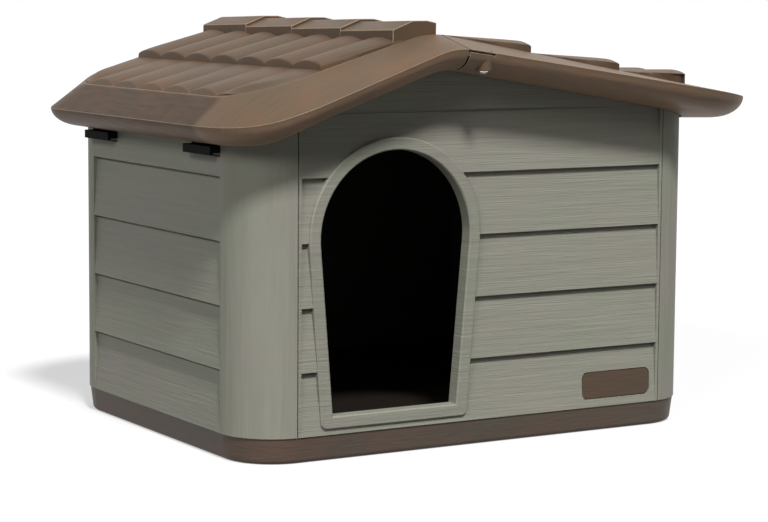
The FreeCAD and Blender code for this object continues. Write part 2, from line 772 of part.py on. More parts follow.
def corner_edges(plan, level, along_rim, x_side, y_side, turned):
    """Rounded corner of a ring in short straight edges, from eave to verge, or back when turned."""
    radius = plan["radius"]
    edge_x = plan["left"] if x_side < 0 else plan["right"]
    rim_x = value(EAVE_LEFT) if x_side < 0 else value(EAVE_RIGHT)
    end_x = edge_x - x_side * radius
    centre_y = y_side * (plan["half_depth"] - radius)
    points = []
    for step in range(CORNER_STEPS + 1):
        angle = math.pi / 2 * step / CORNER_STEPS
        x = end_x + x_side * radius * math.cos(angle)
        y = centre_y + y_side * radius * math.sin(angle)
        eave_x = rim_x + (x - edge_x) * (end_x - rim_x) / (end_x - edge_x)
        points.append(Vector(x, y, level(eave_x if along_rim else x)))
    if turned:
        points.reverse()
    return [line(one, other) for one, other in zip(points, points[1:])]


def verge_edges(plan, level, y_side):
    """A verge of a ring: left slope, rounded ridge, right slope."""
    y = y_side * plan["half_depth"]
    ridge, blend = value(RIDGE), value("ridge_blend")
    left_end, right_end = plan["left"] + plan["radius"], plan["right"] - plan["radius"]
    points = [Vector(x, y, level(x)) for x in (left_end, ridge - blend, ridge + blend, right_end)]
    crest = Part.BezierCurve()
    crest.setPoles([points[1], Vector(ridge, y, level(ridge)), points[2]])
    return [line(points[0], points[1]), crest.toShape(), line(points[2], points[3])]


def ring(plan, level, along_rim=True):
    """Closed ring of edges round the roof, as eight lists: corner, verge or eave by turns."""
    half = plan["half_depth"] - plan["radius"]
    left_z = level(value(EAVE_LEFT) if along_rim else plan["left"])
    right_z = level(value(EAVE_RIGHT) if along_rim else plan["right"])
    right_eave = line(Vector(plan["right"], -half, right_z), Vector(plan["right"], half, right_z))
    left_eave = line(Vector(plan["left"], half, left_z), Vector(plan["left"], -half, left_z))
    return [
        corner_edges(plan, level, along_rim, -1, -1, False),
        verge_edges(plan, level, -1),
        corner_edges(plan, level, along_rim, 1, -1, True),
        [right_eave],
        corner_edges(plan, level, along_rim, 1, 1, False),
        verge_edges(plan, level, 1),
        corner_edges(plan, level, along_rim, -1, 1, True),
        [left_eave],
    ]


def ends(edge):
    return edge.valueAt(edge.FirstParameter), edge.valueAt(edge.LastParameter)


def flat_pair(first, second):
    """Two flat triangles between two short straight edges."""
    one, two = ends(first)
    three, four = ends(second)
    corners = [(one, two, three), (two, four, three)]
    return [Part.Face(Part.makePolygon(list(points) + [points[0]])) for points in corners]


def strip(first_ring, second_ring):
    """Faces between two rings: flat pairs round the corners, ruled surfaces elsewhere."""
    faces = []
    for index, (first, second) in enumerate(zip(first_ring, second_ring)):
        for one, other in zip(first, second):
            faces += flat_pair(one, other) if index % 2 == 0 else [Part.makeRuledSurface(one, other)]
    return faces


def lowered(drop):
    return lambda x: rim_level(x) - drop


def deck_faces(sections):
    """Left slope, rounded ridge and right slope inside the field's ring."""
    front_left, front_crest, front_right = sections[1]
    rear_left, rear_crest, rear_right = sections[5]
    left_line, right_line = [line(*points) for points in zip(ends(front_crest), ends(rear_crest))]
    left = sections[0] + [front_left, left_line, rear_left] + sections[6] + sections[7]
    right = sections[2] + sections[3] + sections[4] + [rear_right, right_line, front_right]
    faces = [Part.Face(Part.Wire(Part.__sortEdges__(side))) for side in (left, right)]
    return faces + [Part.makeRuledSurface(front_crest, rear_crest)]


def make_shell_solid():
    """Hollow roof without tiles: deck, flanks, rim, curled skirt and soffit, all one skin thick."""
    skin = value("roof_skin")
    drop = value("skirt_drop")
    depth = value("overhang_left - soffit_gap - soffit_ledge")
    gap = value("soffit_gap")
    mouth = outline(value(f"-{HALF_WIDTH}") - gap, value(HALF_WIDTH) + gap, value(HALF_DEPTH) + gap,
                    value("corner_round") + gap)
    field = outline(value(FIELD_LEFT), value(FIELD_RIGHT), value(HALF_DEPTH), value("field_round"))
    inner_field = dict(field, half_depth=field["half_depth"] - value("inner_field_inset"))
    outer = [ring(mouth, lowered(drop))]
    for angle in OUTER_CURL:
        turn = math.radians(angle)
        outer.append(ring(rim_outline(depth * (1 - math.cos(turn))), lowered(drop * math.sin(turn))))
    outer.append(ring(field, deck_level, along_rim=False))
    inner = [ring(mouth, lowered(drop - skin))]
    for angle in INNER_CURL:
        turn = math.radians(angle)
        inset = depth - (depth - skin) * math.cos(turn)
        inner.append(ring(rim_outline(inset), lowered((drop - skin) * math.sin(turn))))
    inner.append(ring(inner_field, lambda x: deck_level(x) - skin, along_rim=False))
    faces = []
    for rings in (outer, inner, [outer[0], inner[0]]):
        for first, second in zip(rings, rings[1:]):
            faces += strip(first, second)
    faces += deck_faces(outer[-1]) + deck_faces(inner[-1])
    return closed_solid(faces)


def closed_solid(faces):
    shell = Part.Shell(faces)
    shell.sewShape()
    solid = Part.makeSolid(shell)
    if solid.Volume < 0:
        solid.reverse()
    return solid


def prism_y(points, low, high):
    """Solid between two Y values with an outline in X and Z."""
    wire = Part.makePolygon([Vector(x, low, z) for x, z in points + points[:1]])
    return Part.Face(wire).extrude(Vector(0, high - low, 0))


def field_space():
    """Space above the deck within the tiled field, where tiles and caps may stand."""
    margin = value("tile_margin")
    left, right = value(FIELD_LEFT) + margin, value(FIELD_RIGHT) - margin
    half, radius = value(HALF_DEPTH) - margin, value("field_round") - margin
    ridge, blend = value(RIDGE), value("ridge_blend")
    sink = value("tile_sink")
    top = value("deck_ridge_height") + REACH
    block = Part.makeBox(right - left, 2 * half, top, Vector(left, -half, 0))
    uprights = [edge for edge in block.Edges if near(edge.BoundBox.ZLength, top)]
    block = block.makeFillet(radius, uprights)
    lower = [(x, deck_level(x) - sink) for x in (left, ridge - blend, ridge + blend, right)]
    above = prism_y([(left, top)] + lower + [(right, top)], -half, half)
    return block.common(above)


def scallop_face(x, base, floor):
    """Cross-section of a row of tiles at x: one round roll beside the next."""
    half, count, rise = value(HALF_DEPTH), int(value("roll_count")), value("roll_rise")
    pitch = 2 * half / count
    edges = []
    for index in range(count):
        start = -half + index * pitch
        points = [Vector(x, start, base), Vector(x, start + pitch / 2, base + rise),
                  Vector(x, start + pitch, base)]
        edges.append(Part.Arc(*points).toShape())
    corners = [Vector(x, half, base), Vector(x, half, floor),
               Vector(x, -half, floor), Vector(x, -half, base)]
    edges += [Part.LineSegment(one, other).toShape() for one, other in zip(corners, corners[1:])]
    return Part.Face(Part.Wire(edges))


def tile_row(low_x, high_x):
    """One row of tiles, raised by a lip at its lower end and flush with the deck at its upper end."""
    lip = value("tile_lip")
    base = deck_level(low_x) + lip
    climb = deck_level(high_x) - base
    stretch = 1 + value("row_overlap") / abs(high_x - low_x)
    face = scallop_face(low_x, base, base - REACH)
    return face.extrude(Vector((high_x - low_x) * stretch, 0, climb * stretch))


def ridge_caps():
    """Four bevelled caps along the ridge, each rising a little towards its rear end."""
    left, right = -value("cap_left_offset"), -value("cap_right_offset")
    top = value("deck_ridge_height + cap_rise")
    side_top = top - value("cap_side_drop")
    end = value(f"{HALF_DEPTH} - cap_end_gap")
    count = int(value("cap_count"))
    pitch = 2 * end / count
    floor = top - REACH
    points = [(left, floor), (left, side_top), (left + value("cap_bevel"), top),
              (right - value("cap_small_bevel"), top), (right, top - value("cap_edge_drop")), (right, floor)]
    wire = Part.makePolygon([Vector(x, -end, z) for x, z in points + points[:1]])
    face = Part.Face(wire)
    caps = []
    for index in range(count):
        cap = face.extrude(Vector(0, pitch, value("cap_tilt")))
        cap.translate(Vector(0, index * pitch, 0))
        caps.append(cap)
    return caps


def fuse_all(shapes):
    return shapes[0].multiFuse(shapes[1:]).removeSplitter()


def left_tiles(space):
    """Two rows of tiles below the ridge caps."""
    low, high = value(FIELD_LEFT), -value("cap_left_offset")
    middle = (low + high) / 2
    rows = [tile_row(low, middle), tile_row(middle, high)]
    return fuse_all(rows + ridge_caps()).common(space)


def right_tiles(space):
    """Three rows of tiles below the ridge; the lowest is the shortest."""
    start = -value("roof_seam_offset")
    length = value("right_row_length")
    places = [start, start + length, start + 2 * length, value(FIELD_RIGHT)]
    rows = [tile_row(low, high) for high, low in zip(places, places[1:])]
    return fuse_all(rows).common(space)


def half_space(side):
    """Everything on one side of the roof's middle joint."""
    joint = -value("roof_seam_offset") + side * value("roof_seam_gap") / 2
    start = joint if side > 0 else joint - FAR
    return Part.makeBox(FAR, FAR, FAR, Vector(start, -FAR / 2, 0))


def latch_catches(side):
    """Two plates that hang inside a side wall, each with a slot for a latch's nose."""
    start = value(CATCH_START)
    thick, margin, gap = value("catch_thick"), value("catch_margin"), value("catch_gap")
    half_slot = value("latch_width") / 2 + gap
    slot_top = value(f"{latch_height(side)} + latch_thick / 2 + catch_gap")
    slot_foot = value(f"{latch_height(side)} - latch_thick / 2 - {STOP_DROP} - catch_gap")
    low = slot_foot - margin
    x_low = min(side * start, side * (start - thick))
    roof = deck_level(side * (start - thick / 2)) - value("roof_skin") / 2
    plates = []
    for end in (-1, 1):
        y = end * value("latch_spacing") / 2
        plate = Part.makeBox(thick, 2 * (half_slot + margin), roof - low,
                             Vector(x_low, y - half_slot - margin, low))
        slot = Part.makeBox(thick, 2 * half_slot, slot_top - slot_foot,
                            Vector(x_low, y - half_slot, slot_foot))
        plates.append(plate.cut(slot))
    return plates


def rim_strip(x_low, x_high, top_drop, bottom_drop, y_low, y_high):
    """Bar that follows the right slope of the rim."""
    tops = [(x, value(rim_height(f"({x})")) - top_drop) for x in (x_low, x_high)]
    feet = [(x, z + top_drop - bottom_drop) for x, z in reversed(tops)]
    return prism_y(tops + feet, y_low, y_high)


def screw_place(side):
    x = -value("screw_offset")
    y = side * value(f"{HALF_DEPTH} + overhang_verge - screw_inset")
    foot = value(rim_height("(-screw_offset)")) - value("boss_drop")
    return x, y, foot


def roof_tongue(side):
    """Tongue of the left half, with its root and the screw's hole."""
    joint = -value("roof_seam_offset") - value("roof_seam_gap") / 2
    x, y, foot = screw_place(side)
    half = value("tongue_width") / 2
    top = value("tongue_drop")
    bottom = top + value("tongue_plate")
    start = joint - value("tongue_root_length")
    plate = rim_strip(start, joint + value("tongue_reach"), top, bottom, y - half, y + half)
    root = rim_strip(start, joint, value("tongue_root_top"), value("tongue_root_foot"), y - half, y + half)
    radius = value("screw_radius + screw_gap")
    hole = Part.makeCylinder(radius, REACH, Vector(x, y, foot))
    return plate.fuse(root).cut(hole)


def screw_boss(side):
    """Boss of the right half below the tongue, before its hole and the head's seat are cut."""
    x, y, foot = screw_place(side)
    tongue_foot = value("tongue_drop + tongue_plate + fit_gap")
    radius = value("boss_radius")
    ceiling = rim_strip(x - radius, x + radius, tongue_foot, REACH, y - radius, y + radius)
    return Part.makeCylinder(radius, REACH, Vector(x, y, foot)).common(ceiling)


def screw_room(side):
    """Hole for the screw's shank and room for its head below the boss."""
    x, y, foot = screw_place(side)
    length = value("boss_drop - tongue_drop - tongue_plate")
    shank = Part.makeCylinder(value("screw_radius + screw_gap"), length, Vector(x, y, foot))
    radius = value("screw_head_radius + screw_head_room")
    head = Part.makeCylinder(radius, REACH, Vector(x, y, foot - REACH))
    return [shank, head]


def add_shape(label, shape):
    feature = doc.addObject("Part::Feature", label)
    feature.Label = label
    feature.Shape = shape
    feature.Placement = FreeCAD.Placement()
    pieces.append(feature)


def make_roof():
    """Both halves of the roof."""
    shell = make_shell_solid()
    space = field_space()
    left = shell.common(half_space(-1)).fuse([left_tiles(space).common(half_space(-1))])
    left = left.fuse(latch_catches(-1) + [roof_tongue(side) for side in (-1, 1)])
    right = shell.common(half_space(1)).fuse([right_tiles(space).common(half_space(1))])
    right = right.fuse(latch_catches(1) + [screw_boss(side) for side in (-1, 1)])
    right = right.cut(screw_room(-1) + screw_room(1))
    add_shape("roof_left", single_solid(left))
    add_shape("roof_right", single_solid(right))


def single_solid(shape):
    shape = shape.removeSplitter()
    if len(shape.Solids) != 1:
        raise ValueError(f"expected one solid, found {len(shape.Solids)}")
    return shape.Solids[0]


def check_document():
    doc.recompute()
    for item in doc.Objects:
        if {"Invalid", "Error"} & set(item.State):
            raise ValueError(f"{item.Label} failed: {item.State}")
    for piece in pieces:
        if piece.Shape.isNull() or not piece.Shape.isValid():
            raise ValueError(f"{piece.Label} has no valid shape")


def write_pieces():
    os.makedirs("parts", exist_ok=True)
    for piece in pieces:
        piece.Shape.exportStep(f"parts/{piece.Label}.step")
        print(f"{piece.Label}: {len(piece.Shape.Solids)} solid, {piece.Shape.Volume / 1000:.1f} cm3")


fill_sheet()
make_base_tray()
make_front_wall()
make_rear_wall()
make_side_wall("left_wall", -1)
make_side_wall("right_wall", 1)
make_name_plate()
make_roof()
for screw_end, screw_side in (("front", -1), ("rear", 1)):
    make_ridge_screw(f"ridge_screw_{screw_end}", screw_side)
for wall_name, wall_side in (("left", -1), ("right", 1)):
    for end_name, wall_end in (("front", -1), ("rear", 1)):
        make_latch(f"latch_{wall_name}_{end_name}", wall_side, wall_end)
check_document()
write_pieces()
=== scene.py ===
import math

import bmesh
import bpy
from mathutils import Matrix, Vector


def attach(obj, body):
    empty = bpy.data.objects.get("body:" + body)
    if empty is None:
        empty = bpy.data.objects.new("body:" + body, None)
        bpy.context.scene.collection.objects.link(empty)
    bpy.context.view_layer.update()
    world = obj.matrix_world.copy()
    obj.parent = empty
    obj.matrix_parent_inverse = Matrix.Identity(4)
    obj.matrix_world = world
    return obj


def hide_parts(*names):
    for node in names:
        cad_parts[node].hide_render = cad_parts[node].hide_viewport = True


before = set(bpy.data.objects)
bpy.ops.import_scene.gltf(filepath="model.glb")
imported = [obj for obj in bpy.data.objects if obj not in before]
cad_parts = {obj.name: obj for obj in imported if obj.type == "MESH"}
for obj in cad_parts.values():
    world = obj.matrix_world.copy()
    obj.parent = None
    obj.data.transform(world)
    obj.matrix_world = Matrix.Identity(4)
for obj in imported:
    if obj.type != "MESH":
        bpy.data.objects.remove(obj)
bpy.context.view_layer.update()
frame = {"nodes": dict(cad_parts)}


# Camera, floor and light

CAMERA_TURN, CAMERA_RISE, CAMERA_ROLL = -31.1779, 6.7154, 0.4394    # degrees
CAMERA_PLACE = (-1.2492, -2.0716, 0.4428)
LENS_MM, FILM_MM, VIEW_DEPTH = 110.64, 36, 60

# Degrees turned left of straight in front and raised, strength, and angular width in degrees
LIGHTS = {
    "key": {"turn": 13, "rise": 55, "energy": 3.7, "softness": 9},
    "fill": {"turn": 60, "rise": 30, "energy": 1.1, "softness": 20},
    "side": {"turn": -112, "rise": 35, "energy": 0.7, "softness": 30},
}
WHITE = (1, 1, 1, 1)
ROOM_GLOW = 0.045

FLOOR_REACH = 20
FLOOR_TONE, FLOOR_BOUNCE = (0.86, 0.85, 0.86, 1), (0.14, 0.14, 0.14, 1)
FLOOR_WHITE_SHARE = 0.5

# Places of the Mix node's sockets for colours and for vectors
MIX_COLOURS, MIXED_COLOUR = (6, 7), 2
MIX_VECTORS, MIXED_VECTOR = (4, 5), 1


def place_camera():
    """Camera at the photograph's viewing angle."""
    turn, rise, roll = (math.radians(angle) for angle in (CAMERA_TURN, CAMERA_RISE, CAMERA_ROLL))
    back = Vector((math.sin(turn) * math.cos(rise), -math.cos(turn) * math.cos(rise),
                   math.sin(rise)))
    right = (-back).cross(Vector((0, 0, 1))).normalized()
    up = right.cross(-back)
    side = right * math.cos(roll) + up * math.sin(roll)
    top = up * math.cos(roll) - right * math.sin(roll)
    data = bpy.data.cameras.new("camera")
    data.lens = LENS_MM
    data.sensor_width = FILM_MM
    data.clip_end = VIEW_DEPTH
    camera = bpy.data.objects.new("camera", data)
    bpy.context.collection.objects.link(camera)
    camera.matrix_world = Matrix((
        (side.x, top.x, back.x, CAMERA_PLACE[0]),
        (side.y, top.y, back.y, CAMERA_PLACE[1]),
        (side.z, top.z, back.z, CAMERA_PLACE[2]),
        (0, 0, 0, 1),
    ))
    bpy.context.scene.camera = camera


def add_sun(name, turn, rise, energy, softness):
    """Large soft light far away: turned left from straight in front, raised above the floor."""
    data = bpy.data.lights.new(name, "SUN")
    data.energy = energy
    data.angle = math.radians(softness)
    lamp = bpy.data.objects.new(name, data)
    bpy.context.collection.objects.link(lamp)
    lamp.rotation_euler = (math.radians(90 - rise), 0, -math.radians(turn))


def seen_directly(nodes, links):
    """1 for rays that meet the surface from the camera or in a reflection, else 0."""
    path = nodes.new("ShaderNodeLightPath")
    total = path.outputs["Is Camera Ray"]
    for name in ("Is Glossy Ray", "Is Transmission Ray"):
        add = nodes.new("ShaderNodeMath")
        add.operation = "MAXIMUM"
        links.new(total, add.inputs[0])
        links.new(path.outputs[name], add.inputs[1])
        total = add.outputs[0]
    return total


def light_world():
    """Even studio light, white where the camera looks past the object."""
    world = bpy.data.worlds.new("studio")
    bpy.context.scene.world = world
    world.use_nodes = True
    nodes, links = world.node_tree.nodes, world.node_tree.links
    nodes.clear()
    out = nodes.new("ShaderNodeOutputWorld")
    mix = nodes.new("ShaderNodeMixShader")
    glow = nodes.new("ShaderNodeBackground")
    glow.inputs["Color"].default_value = WHITE
    glow.inputs["Strength"].default_value = ROOM_GLOW
    shown = nodes.new("ShaderNodeBackground")
    shown.inputs["Color"].default_value = WHITE
    shown.inputs["Strength"].default_value = 1
    links.new(seen_directly(nodes, links), mix.inputs[0])
    links.new(glow.outputs[0], mix.inputs[1])
    links.new(shown.outputs[0], mix.inputs[2])
    links.new(mix.outputs[0], out.inputs["Surface"])


def lay_floor():
    """Plain pale floor that keeps the object's soft shadow."""
    mesh = bpy.data.meshes.new("floor")
    shape = bmesh.new()
    bmesh.ops.create_grid(shape, x_segments=1, y_segments=1, size=FLOOR_REACH)
    shape.to_mesh(mesh)
    shape.free()
    floor = bpy.data.objects.new("floor", mesh)
    bpy.context.collection.objects.link(floor)
    material = bpy.data.materials.new("floor_white")
    material.use_nodes = True
    nodes, links = material.node_tree.nodes, material.node_tree.links
    nodes.clear()
    out = nodes.new("ShaderNodeOutputMaterial")
    matt = nodes.new("ShaderNodeBsdfDiffuse")
    tone = nodes.new("ShaderNodeMix")
    tone.data_type = "RGBA"
    for socket, value in zip(MIX_COLOURS, (FLOOR_BOUNCE, FLOOR_TONE)):
        tone.inputs[socket].default_value = value
    links.new(seen_directly(nodes, links), tone.inputs[0])
    links.new(tone.outputs[MIXED_COLOUR], matt.inputs["Color"])
    glow = nodes.new("ShaderNodeEmission")
    glow.inputs["Color"].default_value = WHITE
    glow.inputs["Strength"].default_value = 1
    share = nodes.new("ShaderNodeMath")
    share.operation = "MULTIPLY"
    share.inputs[1].default_value = FLOOR_WHITE_SHARE
    mix = nodes.new("ShaderNodeMixShader")
    links.new(seen_directly(nodes, links), share.inputs[0])
    links.new(share.outputs[0], mix.inputs[0])
    links.new(matt.outputs[0], mix.inputs[1])
    links.new(glow.outputs[0], mix.inputs[2])
    links.new(mix.outputs[0], out.inputs["Surface"])
    mesh.materials.append(material)


# Materials

# The cabin's inside, where its inner faces get painted shade, and how far a face inside it has to
# look inwards to be its lining
CABIN_HALF_WIDTH, CABIN_HALF_DEPTH, CABIN_MIDDLE = 0.2525, 0.1875, 0.004
TRAY_FLOOR, LINING_LEAN = 0.0245, -0.01
# How dark the painted shade makes the walls' inner faces and the tray's floor inside the cabin
WALL_INSIDE_SHADE, TRAY_INSIDE_SHADE = 0.25, 0.15

PLANK_FOOT, PLANK_PITCH, PLANK_SHIFT = 0.025, 0.06, 3.37
POST_EDGE = 0.1405
GRAIN_STRETCH, FIBRE_STRETCH = 26, 60

# Where the left eave's flank is grained and darkened, partly real grain and partly painted shade:
# outside this x, and behind this y with a soft end
EAVE_GRAIN_SHADE_X, EAVE_GRAIN_SHADE_Y, EAVE_GRAIN_SHADE_FADE = -0.262, -0.147, 0.012


class Surface:
    """Node building for one moulded plastic, in Object coordinates."""

    def __init__(self, name, roughness, shine=0.2):
        self.material = bpy.data.materials.new(name)
        self.material.use_nodes = True
        self.nodes = self.material.node_tree.nodes
        self.links = self.material.node_tree.links
        self.shader = self.nodes["Principled BSDF"]
        self.shader.inputs["Roughness"].default_value = roughness
        self.shader.inputs["Specular IOR Level"].default_value = shine
        self.place = self.nodes.new("ShaderNodeTexCoord").outputs["Object"]

    def math(self, kind, first, second=0.0):
        node = self.nodes.new("ShaderNodeMath")
        node.operation = kind
        for index, item in enumerate((first, second)):
            if isinstance(item, (int, float)):
                node.inputs[index].default_value = item
            else:
                self.links.new(item, node.inputs[index])
        return node.outputs[0]

    def split(self, vector):
        node = self.nodes.new("ShaderNodeSeparateXYZ")
        self.links.new(vector, node.inputs[0])
        return node.outputs

    def join(self, x, y, z):
        node = self.nodes.new("ShaderNodeCombineXYZ")
        for index, item in enumerate((x, y, z)):
            if isinstance(item, (int, float)):
                node.inputs[index].default_value = item
            else:
                self.links.new(item, node.inputs[index])
        return node.outputs[0]

    def noise(self, vector, scale, detail=2.0, roughness=0.5, distortion=0.0):
        node = self.nodes.new("ShaderNodeTexNoise")
        node.inputs["Scale"].default_value = scale
        node.inputs["Detail"].default_value = detail
        node.inputs["Roughness"].default_value = roughness
        node.inputs["Distortion"].default_value = distortion
        self.links.new(vector, node.inputs["Vector"])
        return node.outputs["Fac"]

    def ramp(self, value, stops):
        node = self.nodes.new("ShaderNodeValToRGB")
        band = node.color_ramp
        band.elements[0].position, band.elements[0].color = stops[0][0], (*stops[0][1], 1)
        band.elements[1].position, band.elements[1].color = stops[-1][0], (*stops[-1][1], 1)
        for position, colour in stops[1:-1]:
            band.elements.new(position).color = (*colour, 1)
        self.links.new(value, node.inputs[0])
        return node.outputs[0]

    def blend(self, share, first, second, kind="MIX"):
        node = self.nodes.new("ShaderNodeMix")
        node.data_type = "RGBA"
        node.blend_type = kind
        for place, item in zip((0, *MIX_COLOURS), (share, first, second)):
            socket = node.inputs[place]
            if isinstance(item, (int, float)):
                socket.default_value = item
            elif isinstance(item, tuple):
                socket.default_value = (*item, 1)
            else:
                self.links.new(item, socket)
        return node.outputs[MIXED_COLOUR]

    def choose(self, share, first, second):
        """One vector or the other."""
        node = self.nodes.new("ShaderNodeMix")
        node.data_type = "VECTOR"
        for place, item in zip((0, *MIX_VECTORS), (share, first, second)):
            self.links.new(item, node.inputs[place])
        return node.outputs[MIXED_VECTOR]

    def relief(self, height, depth):
        node = self.nodes.new("ShaderNodeBump")
        node.inputs["Distance"].default_value = depth
        node.inputs["Strength"].default_value = 1
        self.links.new(height, node.inputs["Height"])
        self.links.new(node.outputs[0], self.shader.inputs["Normal"])

    def colour(self, output):
        self.links.new(output, self.shader.inputs["Base Color"])

    def facing(self):
        """The face's direction in Object coordinates."""
        return self.split(self.nodes.new("ShaderNodeTexCoord").outputs["Normal"])

    def inside(self, colour, share, tray=False):
        """Colour with painted shade: darkened where the tray's floor or a wall's inner face lines
        the cabin.
        """
        x, y, z = self.split(self.place)
        from_middle = self.math("ABSOLUTE", self.math("SUBTRACT", y, CABIN_MIDDLE))
        within = self.math("MULTIPLY",
                           self.math("LESS_THAN", self.math("ABSOLUTE", x), CABIN_HALF_WIDTH),
                           self.math("LESS_THAN", from_middle, CABIN_HALF_DEPTH))
        if tray:
            lining = self.math("GREATER_THAN", z, TRAY_FLOOR)
        else:
            lean_x, lean_y, _ = self.facing()
            outward = self.math("ADD", self.math("MULTIPLY", x, lean_x),
                                self.math("MULTIPLY", y, lean_y))
            lining = self.math("LESS_THAN", outward, LINING_LEAN)
        within = self.math("MULTIPLY", within, lining)
        painted_shade = self.blend(1.0, colour, (share, share, share), "MULTIPLY")
        return self.blend(within, colour, painted_shade)


def lit(red, green, blue):
    """Linear values of a colour given as 0 to 255."""
    return tuple((part / 255 / 12.92) if part < 10 else ((part / 255 + 0.055) / 1.055) ** 2.4
                 for part in (red, green, blue))


def wall_plastic(name, side_wall):
    """Grey-green plastic with moulded wood grain, level on the planks and upright on the posts."""
    surface = Surface(name, 0.55)
    x, y, z = surface.split(surface.place)
    along, across = (y, x) if side_wall else (x, y)
    plank = surface.math("DIVIDE", surface.math("SUBTRACT", z, PLANK_FOOT), PLANK_PITCH)
    shift = surface.math("MULTIPLY", surface.math("FLOOR", plank), PLANK_SHIFT)
    run = surface.math("ADD", along, shift)
    grains = []
    for stretch in (GRAIN_STRETCH, FIBRE_STRETCH):
        lines = surface.join(run, across, surface.math("MULTIPLY", z, stretch))
        if side_wall:
            ring = surface.math("MULTIPLY", surface.math("ADD", along, across), stretch)
            post = surface.math("GREATER_THAN", surface.math("ABSOLUTE", y), POST_EDGE)
            lines = surface.choose(post, lines, surface.join(z, across, ring))
        grains.append(lines)
    grain = surface.noise(grains[0], 9, 3, 0.55, 0.6)
    fibre = surface.noise(grains[1], 22, 2, 0.6, 0.2)
    mottle = surface.noise(surface.place, 14, 2)
    tint = surface.ramp(mottle, [(0.35, lit(137, 139, 125)), (0.65, lit(141, 138, 128))])
    shade = surface.ramp(grain, [(0.3, (0.93, 0.93, 0.93)), (0.7, (1.04, 1.04, 1.04))])
    colour = surface.blend(1.0, tint, shade, "MULTIPLY")
    # The walls' inner faces inside the cabin get painted shade.
    surface.colour(surface.inside(colour, WALL_INSIDE_SHADE))
    height = surface.math("ADD", surface.math("MULTIPLY", grain, 0.6),
                          surface.math("MULTIPLY", fibre, 0.4))
    surface.relief(height, 0.0009)
    return surface.material


def brown_plastic(name, colours, down_slope=False, paints_cabin_shade=False, grained_shaded_eave=False):
    """Warm brown plastic with fine streaks and a faint red and olive mottle, with painted light
    and shade on some faces.
    """
    surface = Surface(name, 0.5, 0.18)
    x, y, z = surface.split(surface.place)
    if down_slope:
        streak = surface.join(surface.math("MULTIPLY", x, 0.5), surface.math("MULTIPLY", y, 8), z)
    else:
        streak = surface.join(x, y, surface.math("MULTIPLY", z, 9))
    fine = surface.noise(streak, 45, 3, 0.6, 0.3)
    mottle = surface.noise(surface.place, 18, 3, 0.5, 0.4)
    tint = surface.ramp(mottle, [(0.3, colours[0]), (0.5, colours[1]), (0.7, colours[2])])
    shade = surface.ramp(fine, [(0.3, (0.91, 0.91, 0.9)), (0.7, (1.05, 1.05, 1.05))])
    colour = surface.blend(1.0, tint, shade, "MULTIPLY")
    if grained_shaded_eave:
        lines = surface.join(surface.math("MULTIPLY", x, 9), y, surface.math("MULTIPLY", z, 9))
        grain = surface.noise(lines, 30, 3)
        run = surface.ramp(surface.math("SUBTRACT", EAVE_GRAIN_SHADE_Y, y),
                           [(0.0, (1.0, 1.0, 1.0)), (EAVE_GRAIN_SHADE_FADE, (0.0, 0.0, 0.0))])
        flank = surface.ramp(surface.math("SUBTRACT", EAVE_GRAIN_SHADE_X, x),
                             [(0.0, (0.0, 0.0, 0.0)), (0.002, (1.0, 1.0, 1.0))])
        # The grain darkens the flank to between a third and a half: partly the real grain, partly
        # painted shade.
        grain_and_shade = surface.ramp(grain, [(0.35, (0.32, 0.27, 0.22)), (0.65, (0.5, 0.45, 0.38))])
        patch = surface.math("MULTIPLY", run, flank)
        colour = surface.blend(patch, colour, surface.blend(1.0, colour, grain_and_shade, "MULTIPLY"))
    # On the tray, the floor inside the cabin gets painted shade.
    if paints_cabin_shade:
        colour = surface.inside(colour, TRAY_INSIDE_SHADE, tray=True)
    else:
        # Faces that look down are painted up to about twice as light and a little bluer: painted
        # bounce light from the floor.
        under = surface.ramp(surface.math("MULTIPLY", surface.facing()[2], -1),
                             [(0.1, (1.0, 1.0, 1.0)), (0.5, (2.1, 2.15, 2.3))])
        colour = surface.blend(1.0, colour, under, "MULTIPLY")
    surface.colour(colour)
    surface.relief(fine, 0.0004)
    return surface.material


def black_plastic():
    surface = Surface("latch_black", 0.7, 0.05)
    speck = surface.noise(surface.place, 900, 2)
    surface.colour(surface.ramp(speck, [(0.3, lit(6, 6, 7)), (0.7, lit(13, 13, 14))]))
    surface.relief(speck, 0.0002)
    return surface.material


def bright_steel():
    surface = Surface("screw_bright", 0.22)
    surface.shader.inputs["Metallic"].default_value = 1
    scuff = surface.noise(surface.place, 700, 3)
    surface.colour(surface.ramp(scuff, [(0.3, (0.62, 0.62, 0.63)), (0.7, (0.8, 0.8, 0.8))]))
    surface.relief(scuff, 0.00005)
    return surface.material


def dress(piece, material):
    piece.data.materials.clear()
    piece.data.materials.append(material)


# Roof, in metres, on the lines of the CAD model

# Plan outlines: the rim, the tiled field inside it and the mouth below it, with the rounds of
# their left and right corners
RIM = {"left": -0.2907, "right": 0.320, "half": 0.245, "rounds": (0.090, 0.090)}
FIELD = {"left": -0.264, "right": 0.245, "half": 0.197, "rounds": (0.060, 0.008)}
MOUTH = {"left": -0.260, "right": 0.260, "half": 0.199, "rounds": (0.056, 0.056)}
RIDGE, CREST = -0.066, 0.020        # the ridge's x, and half the length of its round
RIM_LEFT, RIM_RIDGE, RIM_RIGHT, LEVEL_RUN = 0.313, 0.3852, 0.3285, 0.0247
DECK_LEFT, DECK_RIDGE, DECK_RIGHT = 0.3385, 0.3975, 0.3434
SKIN = 0.003
CURL_DEPTH = 0.029
CURL_TURNS = (0, 2.6, 8, 15, 24, 34, 45, 56, 67, 78, 90)
SKIRT_LEFT, SKIRT_GROWTH = 0.018, 0.0025
CORNER_STEPS, CREST_STEPS = 24, 8
SLOPE_CUTS = (-0.18, -0.14, -0.1, 0.0, 0.06, 0.12, 0.18, 0.21)

